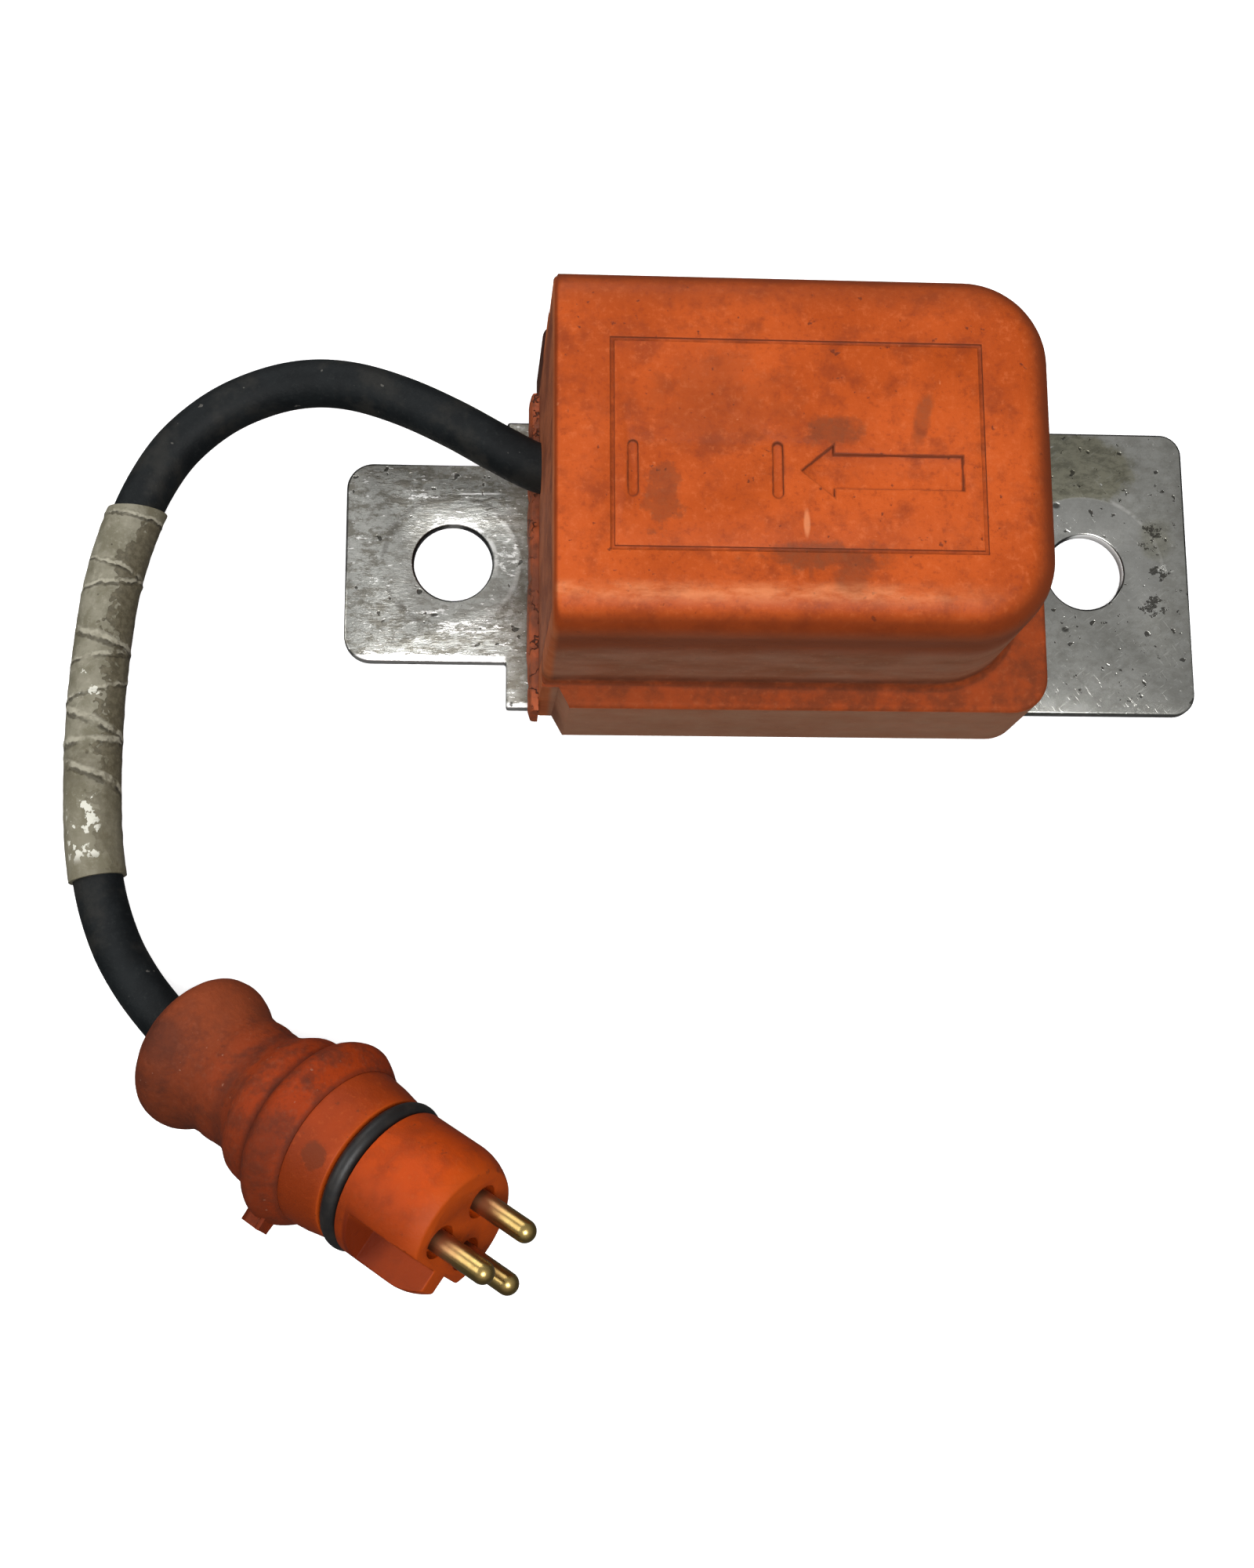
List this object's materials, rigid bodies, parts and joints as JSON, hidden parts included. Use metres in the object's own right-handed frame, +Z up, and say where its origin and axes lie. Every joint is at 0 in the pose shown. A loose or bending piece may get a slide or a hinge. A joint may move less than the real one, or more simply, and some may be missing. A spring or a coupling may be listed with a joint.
{
  "type": "vehicle impact sensor",
  "caption": "Box-shaped vehicle impact sensor under a moulded orange cover on a flat steel mounting plate, with a short lead to a round sealed pin plug.",
  "frame": {"origin": "midway between the two mounting holes, on the underside of the mounting plate", "axes": "+X along the plate, away from the end where the lead leaves; +Y to the back; +Z up, out of the cover's top"},
  "size_m": [0.1256, 0.1028, 0.035],
  "materials": {
    "zinc_steel": "scratched, zinc coated",
    "orange_shell": "satin moulded plastic, worn and grimy",
    "grimy_end": "matt, grimy",
    "sealant": "matt set sealant",
    "potting": "matt resin",
    "black_plastic": "matt",
    "screw_steel": "bright zinc",
    "ivory_plastic": "satin nylon",
    "magnet": "sintered",
    "bright_steel": "ground",
    "gold_plate": "gold plated, lightly worn",
    "black_rubber": "satin",
    "board_green": "solder mask",
    "resistor_blue": "lacquered",
    "wire_red": "satin insulation",
    "wire_blue": "satin insulation",
    "wire_yellow": "satin insulation",
    "natural_nylon": "satin",
    "cable_black": "matt sheath",
    "aged_tape": "matt aged tape",
    "red_rubber": "matt, dirty",
    "orange_plastic": "satin"
  },
  "bodies": {
    "housing": {"mounting_plate": "zinc_steel", "cover": "orange_shell", "end_cap": "grimy_end", "end_seal": "sealant", "potting_layer": "potting", "sensor_cradle": "black_plastic", "body_screw_1": "screw_steel", "body_screw_2": "screw_steel", "capsule_housing": "ivory_plastic", "magnet_holder": "black_plastic", "bias_magnet": "magnet", "ball_tube": "bright_steel", "tube_sleeve": "ivory_plastic", "contact_carrier": "black_plastic", "capsule_o_ring": "black_rubber", "terminal_pin_1": "gold_plate", "terminal_pin_2": "gold_plate", "terminal_board": "board_green", "diagnostic_resistor": "resistor_blue", "core_wire_1": "wire_red", "core_wire_2": "wire_blue", "core_wire_3": "wire_yellow", "cable_tie": "natural_nylon", "lead_cable": "cable_black", "tape_sleeve": "aged_tape", "plug_boot": "red_rubber", "plug_body": "orange_plastic", "plug_o_ring": "black_rubber", "contact_pin_1": "gold_plate", "contact_pin_2": "gold_plate", "contact_pin_3": "gold_plate", "plug_wire_1": "wire_red", "plug_wire_2": "wire_blue", "plug_wire_3": "wire_yellow"},
    "ball": {"sensing_ball": "gold_plate"},
    "blade_1": {"contact_blade_1": "gold_plate"},
    "blade_2": {"contact_blade_2": "gold_plate"}
  },
  "joints": [
    {"name": "ball_slide", "type": "slide", "parent": "housing", "child": "ball", "axis": [-1, 0, 0], "range_m": [0, 0.0072], "stiffness_N_per_m": 40},
    {"name": "blade_1_flex", "type": "hinge", "parent": "housing", "child": "blade_1", "pos_m": [-0.00692, -0.00025, 0.0242], "axis": [0, 1, 0], "range_deg": [0, 10], "stiffness_Nm_per_rad": 0.002},
    {"name": "blade_2_flex", "type": "hinge", "parent": "housing", "child": "blade_2", "pos_m": [-0.00692, 0.00455, 0.0242], "axis": [0, 1, 0], "range_deg": [0, 10], "stiffness_Nm_per_rad": 0.002}
  ]
}
